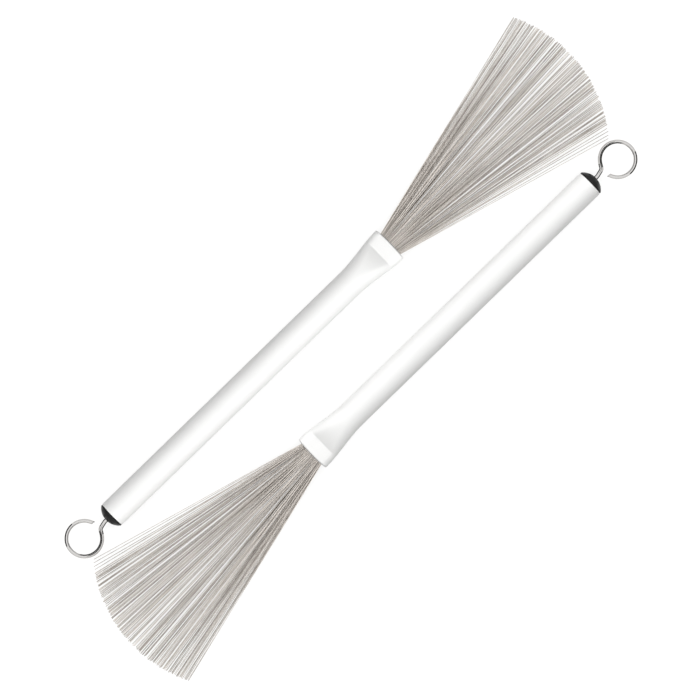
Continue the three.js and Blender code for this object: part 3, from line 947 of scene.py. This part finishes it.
class BRUSHES_OT_ring(bpy.types.Operator):
    """Builds the rubber rings that rub in the tubes"""

    bl_idname = "brushes.ring"
    bl_label = "Friction rings"

    def execute(self, context):
        radius = (RING.end - RING.start) / 2
        turn = np.linspace(0, 2 * pi, RING_STEPS, endpoint=False)
        x = (RING.start + RING.end) / 2 + radius * np.sin(turn)
        r = RING.half_height - radius + radius * np.cos(turn)
        ring = turned(np.stack([x, r], 1))
        rubber = moulded_rubber(context.scene.brush_ferrule.rubber)
        add_pair("rubber_ring", "rod", "friction_ring", "ring_rubber", rubber, ring, closed=True)
        return {"FINISHED"}


# ---------------------------------------------------------------- wires

STREAKS = np.array((5, 13))  # half waves of each kind across the fan
EDGE_POWER = 12  # the higher, the narrower the loose edge
AT_LAND = 1 / 4  # the share of its straying that a wire has at the land already
INSIDE_STATIONS = np.array((0, 0.5, 0.95))  # along a wire from the potting to the land
OUTSIDE_STATIONS = np.array((0.03, 0.2, 0.4, 0.6, 0.8, 0.998, 1))  # and from the land to its tip
TONES = 1.6  # the higher, the fewer wires are very light or very dark
SHADE_STRETCHES = 12  # that the fan's painted shade takes from edge to edge


def streaked(place, depth, rng):
    """A wire's share of the fan's angle from its share of the row: s + the sum of a sin(f s + p) / f,
    with equal amplitudes a that add up to the depth, which is under 1, so that it always rises. It
    fades out at the fan's edges."""
    pitch = STREAKS * pi / 2
    phase = rng.uniform(0, 2 * pi, len(STREAKS))
    waves = (depth / len(STREAKS) / pitch * np.sin(place[:, None] * pitch + phase)).sum(1)
    return place + waves * (1 - place**4)


def fan_lines(context):
    """The wires' middle lines, as an array of (wire, station, xyz). A wire has a place in its row and
    its row a level. It runs from its place in the potting to its place at the mouth's land, and on to
    its tip, which lies at its own angle from the fan's apex, on the arc of the tips. The wires of every
    other row lie roughly one above another, so light shows between them and those of the rest."""
    scene = context.scene
    fan, handle, ferrule = scene.brush_fan, scene.brush_handle, scene.brush_ferrule
    rng = np.random.default_rng(fan.seed)
    rows, in_row = fan.rows, fan.wires_in_row
    row = np.repeat(np.arange(rows), in_row)
    level = 2 * row / (rows - 1) - 1
    stagger = (row % 2 + 0.5) / 2
    even = 2 * (np.tile(np.arange(in_row), rows) + stagger) / in_row - 1
    astray = rng.uniform(-1, 1, len(even))

    # at the thin edge the wires stray further, but evenly from row to row, so that no two line up
    at_edge = np.clip(-even, 0, 1) ** EDGE_POWER
    apart = 2 * (row // 2) / ((rows - 1) // 2) - 1
    astray += at_edge * ((1 + fan.loose) * apart - astray)
    strayed = even + fan.wander / in_row * astray
    place = even + (strayed - even) * AT_LAND

    # the angle runs evenly with the place, and faster on the thin stretch
    spread = streaked(strayed, fan.bunching, rng)
    thin_at = 2 * fan.thin_share - 1
    pace = (2 * fan.half_angle - fan.thin_edge) / (1 - thin_at)
    more = fan.thin_edge / (1 + thin_at) - pace
    turn = fan.half_angle - pace * (1 - spread) - more * np.clip(thin_at - spread, 0, None)

    walls = handle.sleeve_wall + FIT_GAP + handle.tube_wall
    mouth_half_width = SLEEVE.half_width - walls - fan.side_clearance - fan.wire_radius
    apex = SLEEVE.end - mouth_half_width / tan(fan.half_angle)
    land = SLEEVE.end - handle.land
    centre = np.array((SLEEVE.end + fan.reach - fan.tip_radius - apex, fan.tip_offset))
    along = centre[0] * np.cos(turn) + centre[1] * np.sin(turn)
    reach = along + np.sqrt(fan.tip_radius**2 + along**2 - (centre**2).sum())
    reach = reach - fan.unevenness * rng.uniform(0, 1, len(turn)) ** 2
    tip = np.stack([apex + reach * np.cos(turn), reach * np.sin(turn), fan.half_thickness * level], 1)

    # the block of wires in the potting is as wide as the socket's round ends leave room for
    round_end = ferrule.socket_half_height - FIT_GAP
    corner = np.sqrt(round_end**2 - (fan.potted_half_height + fan.wire_radius) ** 2)
    potted_half_width = socket_half_width(context) - FIT_GAP - round_end + corner - fan.wire_radius
    potting_face = FERRULE.end - ferrule.potting_recess
    start = np.full(len(place), potting_face - fan.potted)
    potted = np.stack([start, potted_half_width * place, fan.potted_half_height * level], 1)
    squeezed = handle.mouth_half_height - walls - fan.top_clearance - fan.wire_radius
    land_half_width = (land - apex) * tan(fan.half_angle)
    at_land = np.stack([np.full(len(place), land), land_half_width * place, squeezed * level], 1)

    # from the land on, the wire bows a little between its ends: by 4 t (1 - t) of its sway. The last
    # two stations lie close together, which keeps the shading of the wire's side off its end
    t = OUTSIDE_STATIONS[:, None]
    sway = rng.uniform(-1, 1, (len(place), 1, 3)) * (0, fan.sway, fan.sway / 2)
    outside = at_land[:, None] + (tip - at_land)[:, None] * t + sway * 4 * t * (1 - t)
    inside = potted[:, None] + (at_land - potted)[:, None] * INSIDE_STATIONS[:, None]
    return np.concatenate([inside, outside], 1)


class BRUSHES_OT_potting(bpy.types.Operator):
    """Builds the resin that holds the wires in each ferrule"""

    bl_idname = "brushes.potting"
    bl_label = "Potting"

    def execute(self, context):
        ferrule = context.scene.brush_ferrule
        half_height = ferrule.socket_half_height - FIT_GAP
        face = FERRULE.end - ferrule.potting_recess

        # the resin creeps up the socket's wall, so its face lies a little deeper than its rim
        edge = 0.25 * MM
        x = np.array((FAN.start, FAN.start + edge, face - edge, face, face - 1.5 * edge))
        drawn_in = np.array((edge, 0, 0, 0, 3 * edge))
        heights = half_height - drawn_in
        widths = socket_half_width(context) - FIT_GAP - drawn_in
        block = rings(x, heights, widths, HANDLE_SIDES)
        add_pair("resin_potting", "rod", "wire_fan", None, cast_resin(ferrule.resin), block)
        return {"FINISHED"}


class BRUSHES_OT_fan(bpy.types.Operator):
    """Builds the fans of steel wires"""

    bl_idname = "brushes.fan"
    bl_label = "Wire fans"

    def execute(self, context):
        fan = context.scene.brush_fan
        lines = fan_lines(context)
        t = np.arange(WIRE_SIDES) / WIRE_SIDES * 2 * pi
        section = np.stack([0 * t, fan.wire_radius * np.cos(t), fan.wire_radius * np.sin(t)], 1)
        wires = lines[:, :, None, :] + section

        # each wire has a tone of its own; whole stretches of the fan are painted darker or lighter, a
        # painted shade, and the wires are painted brighter towards the mouth, a painted reflection of the
        # white mouth
        rng = np.random.default_rng(fan.seed)
        own = rng.beta(TONES, TONES, len(lines))
        # painted shade: broad stretches across each row are painted darker or lighter
        stretches = rng.uniform(-1, 1, SHADE_STRETCHES)
        across = np.arange(len(lines)) % fan.wires_in_row / (fan.wires_in_row - 1)
        own += fan.painted_shade_drift * np.interp(across * (SHADE_STRETCHES - 1), np.arange(SHADE_STRETCHES), stretches)
        out = np.clip((lines[..., 0] - SLEEVE.end) / fan.reach, 0, 1)
        tone_and_painted_light = own[:, None] + fan.painted_mouth_reflection * (1 - out) ** 3
        tone_and_painted_light = np.concatenate([np.repeat(tone_and_painted_light.ravel(), WIRE_SIDES), tone_and_painted_light[:, [0, -1]].ravel()])
        steel = spring_wire(fan.bright, fan.dark)
        names = "fan_wires", "rod", "wire_fan", "wire_steel"
        pair = add_pair(*names, steel, wires, attributes={"tone_and_painted_light": tone_and_painted_light})

        # each brush's fan gets a mesh of its own
        for side, piece in zip(SIDES, pair):
            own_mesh(piece)
        return {"FINISHED"}


# ---------------------------------------------------------------- stage

PICTURE_WIDTH = 700  # pixels
PAIR_IN_PICTURE = (1, 1)  # pixels that the pair's middle is right and up of the picture's own
SENSOR = 36  # millimetres
GRADIENT_START = 0.1  # height of a direction from which on the mirrored room grows lighter
GRADIENT_END = 0.7  # and of one from which on it is white
FLOOR_RADIUS = 6  # metres
FLOOR_SIDES = 128
FLOOR_GAP = 0.05 * MM  # under the brushes
SHEET_POINTS = 25  # along a black card


def picture_axes(stage):
    """The picture's right and its up."""
    return np.array((cos(stage.turn), -sin(stage.turn), 0)), np.array((sin(stage.turn), cos(stage.turn), 0))


def only_lights(lamp, name, pieces):
    """Lets a lamp light these objects alone."""
    receivers = bpy.data.collections.new(name)
    for piece in pieces:
        receivers.objects.link(piece)
    lamp.light_linking.receiver_collection = receivers


def either(tree, one, other):
    """The larger of two values."""
    return add_node(tree, "ShaderNodeMath", {0: one, 1: other}, operation="MAXIMUM").outputs[0]


def blended(tree, factor, low, high):
    """A value that runs from low to high with the factor."""
    return add_node(tree, "ShaderNodeMix", {"Factor": factor, "A": low, "B": high}).outputs["Result"]


def one_sided(tree, surface):
    """Lets a sheet be seen from its front only."""
    back = add_node(tree, "ShaderNodeNewGeometry").outputs["Backfacing"]
    clear = add_node(tree, "ShaderNodeBsdfTransparent").outputs[0]
    sided = add_node(tree, "ShaderNodeMixShader", {0: back, 1: surface, 2: clear})
    tree.links.new(sided.outputs[0], tree.nodes["Material Output"].inputs["Surface"])


def studio_floor(tint, glow):
    """A sheet of matt white card. In the picture, and in what metal mirrors, it glows enough to be
    white, and it still takes the shadows of what lies on it. Seen from below it isn't there."""
    material, tree = new_material("White card", Base_Color=(*tint, 1), Roughness=0.9)
    speck = grain(tree, 0.6)
    path = add_node(tree, "ShaderNodeLightPath")
    straight = either(tree, path.outputs["Is Camera Ray"], path.outputs["Is Glossy Ray"])
    seen = either(tree, straight, path.outputs["Is Transmission Ray"])
    level = add_node(tree, "ShaderNodeMath", {0: seen, 1: glow}, operation="MULTIPLY").outputs[0]
    emission = add_node(tree, "ShaderNodeEmission", {"Color": (1, 1, 1, 1), "Strength": level})
    both = {0: shader_of(tree).outputs[0], 1: emission.outputs[0]}
    one_sided(tree, add_node(tree, "ShaderNodeAddShader", both).outputs[0])
    return finished(material, normal=relief(tree, speck, 0.01))


def studio_world(level, horizon):
    """Even light from all round. The camera sees plain white there. What metal mirrors is as white
    overhead, and darker towards the horizon, as in a studio with its lamps above."""
    world = bpy.data.worlds.new("Studio")
    world.use_nodes = True
    tree = world.node_tree
    path = add_node(tree, "ShaderNodeLightPath")
    mirrored = either(tree, path.outputs["Is Glossy Ray"], path.outputs["Is Transmission Ray"])
    way = add_node(tree, "ShaderNodeTexCoord").outputs["Generated"]
    height = add_node(tree, "ShaderNodeSeparateXYZ", {"Vector": way}).outputs["Z"]
    studio = between(tree, height, horizon, 1.0, GRADIENT_START, GRADIENT_END)
    strength = blended(tree, path.outputs["Is Camera Ray"], blended(tree, mirrored, level, studio), 1.0)
    background = tree.nodes["Background"]
    background.inputs["Color"].default_value = (1, 1, 1, 1)
    tree.links.new(strength, background.inputs["Strength"])
    return world


def black_cloth():
    """Black cloth on one side of a sheet; from the other side the sheet isn't there."""
    material, tree = new_material("Black cloth", Roughness=1.0)
    one_sided(tree, shader_of(tree).outputs[0])
    return finished(material, tinted(tree, grain(tree, 1), linear("#040404"), linear("#0c0c0c")))


def add_flag(side, cloth, context):
    """Black card round an eye, seen only in what is mirrored, which draws the dark lines along the
    bright rod. A hood stands behind the eye's middle and leans out over one side of the eye, a flag
    stands outside the other side, and a low strip stands on either side of the shank."""
    stage, rod = context.scene.brush_stage, context.scene.brush_rod
    butt, way = brush_place(side)
    middle = butt + np.array((*eye_middle(rod), 0)) * (way, way, 1)
    right, up = picture_axes(stage)

    # each sheet is bounded by two arcs round the eye: how far out and how high, and from where to where
    ground = -SLEEVE.half_height
    top, back, flag = stage.hood_height, stage.hood_back, stage.flag_distance
    sheets = [
        ((back, ground), (back, top), stage.hood_start - pi, stage.hood_end - pi),
        ((stage.hood_reach, top), (-back, top), stage.hood_start, stage.hood_end),
        ((flag, -stage.flag_foot), (flag, stage.flag_height), stage.flag_start, stage.flag_end),
    ]
    corners = []
    for *arcs, start, end in sheets:
        turn = np.linspace(start, end, SHEET_POINTS)
        spoke = -way * (np.outer(np.cos(turn), right) + np.outer(np.sin(turn), up))
        corners += [middle + spoke * out + np.array((0, 0, high)) for out, high in arcs]

    # the arcs run with the eye on their left, and the strips with the shank on theirs
    aside = -rod.shank * sin(rod.lean) / 2
    for beside in (1, -1):
        run = np.linspace(0, -stage.strip_length, SHEET_POINTS)[::beside]
        for high in (ground, stage.strip_height):
            strip = np.stack([run, 0 * run + aside + beside * stage.strip_distance, 0 * run + high], 1)
            corners.append(butt + strip * (way, way, 1))
    corners = np.array(corners).reshape(-1, 2, SHEET_POINTS, 3)
    index = np.arange(corners.size // 3).reshape(corners.shape[:3])
    low, high = index[:, 0], index[:, 1]
    faces = np.stack([low[:, 1:], low[:, :-1], high[:, :-1], high[:, 1:]], -1).reshape(-1, 4)
    card = add_mesh(f"Flag_{side}", corners.reshape(-1, 3), faces.tolist(), cloth)
    card.visible_camera = card.visible_diffuse = card.visible_shadow = False


class BRUSHES_OT_stage(bpy.types.Operator):
    """Builds the camera, the floor and the light"""

    bl_idname = "brushes.stage"
    bl_label = "Stage"

    def execute(self, context):
        scene = context.scene
        stage = scene.brush_stage
        handle_height = (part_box("grip_sleeve_a")[0].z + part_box("grip_sleeve_a")[1].z) / 2

        # the camera looks straight down, turned so that the brushes lie askew in the picture
        camera = bpy.data.cameras.new("Camera")
        camera.sensor_width = SENSOR
        camera.lens = SENSOR * stage.height / stage.field
        right, up = picture_axes(stage)
        pixel = stage.field / PICTURE_WIDTH
        x, y, _ = -pixel * (PAIR_IN_PICTURE[0] * right + PAIR_IN_PICTURE[1] * up)
        eye = add_object(camera)
        eye.location = (x, y, handle_height + stage.height)
        eye.rotation_euler = (0, 0, -stage.turn)
        scene.camera = eye

        # the floor is a disc, just under the brushes
        turn = np.linspace(0, 2 * pi, FLOOR_SIDES, endpoint=False)
        disc = FLOOR_RADIUS * np.cos(turn), FLOOR_RADIUS * np.sin(turn), 0 * turn - FLOOR_GAP
        white_card = studio_floor(stage.floor, stage.floor_glow)
        floor = add_mesh("Floor", np.stack(disc, 1), [list(range(FLOOR_SIDES))], white_card)

        # each brush has a broad soft light of its own, from above its butt and the other brush, but the
        # bright rods only mirror the room
        pieces = [o for o in scene.objects if o.type == "MESH" and not o.name.startswith("eye_rod")]
        for side in SIDES:
            _, way = brush_place(side)
            sun = bpy.data.lights.new(f"Key {side}", "SUN")
            sun.energy = stage.key
            sun.angle = stage.key_size
            lamp = add_object(sun)
            lamp.rotation_mode = "QUATERNION"
            towards = Vector((-way * tan(stage.key_back), -way * tan(stage.key_side), 1))
            lamp.rotation_quaternion = towards.to_track_quat("Z", "Y")
            own = [piece for piece in pieces if piece.name.endswith(f"_{side}")]
            only_lights(lamp, f"Lit by key {side}", [*own, floor])

        cloth = black_cloth()
        for side in SIDES:
            add_flag(side, cloth, context)
        scene.world = studio_world(stage.sky, stage.horizon)
        scene.view_settings.view_transform = "Standard"
        return {"FINISHED"}


OPERATORS = (
    BRUSHES_OT_sleeve,
    BRUSHES_OT_tube,
    BRUSHES_OT_cap,
    BRUSHES_OT_bush,
    BRUSHES_OT_washer,
    BRUSHES_OT_rod,
    BRUSHES_OT_ferrule,
    BRUSHES_OT_anchor,
    BRUSHES_OT_ring,
    BRUSHES_OT_potting,
    BRUSHES_OT_fan,
    BRUSHES_OT_stage,
)


class BRUSHES_PT_pieces(bpy.types.Panel):
    """Lists the pieces and their settings"""

    bl_idname = "BRUSHES_PT_pieces"
    bl_label = "Wire drum brushes"
    bl_space_type = "VIEW_3D"
    bl_region_type = "UI"
    bl_category = "Brushes"

    def draw(self, context):
        for operator in OPERATORS:
            self.layout.operator(operator.bl_idname)
        for name, group in GROUPS.items():
            box = self.layout.box()
            box.label(text=group.__doc__)
            for setting in group.__annotations__:
                box.prop(getattr(context.scene, name), setting)


def register():
    """Registers the settings, the operators and the panel."""
    for name, group in GROUPS.items():
        bpy.utils.register_class(group)
        setattr(bpy.types.Scene, name, bpy.props.PointerProperty(type=group))
    for made in (*OPERATORS, BRUSHES_PT_pieces):
        bpy.utils.register_class(made)


def unregister():
    """Takes the panel, the operators and the settings away again."""
    for made in (BRUSHES_PT_pieces, *reversed(OPERATORS)):
        bpy.utils.unregister_class(made)
    for name, group in reversed(GROUPS.items()):
        delattr(bpy.types.Scene, name)
        bpy.utils.unregister_class(group)


def main():
    """Builds every piece and the stage."""
    register()
    for operator in OPERATORS:
        area, name = operator.bl_idname.split(".")
        getattr(getattr(bpy.ops, area), name)()


if __name__ == "__main__":
    main()
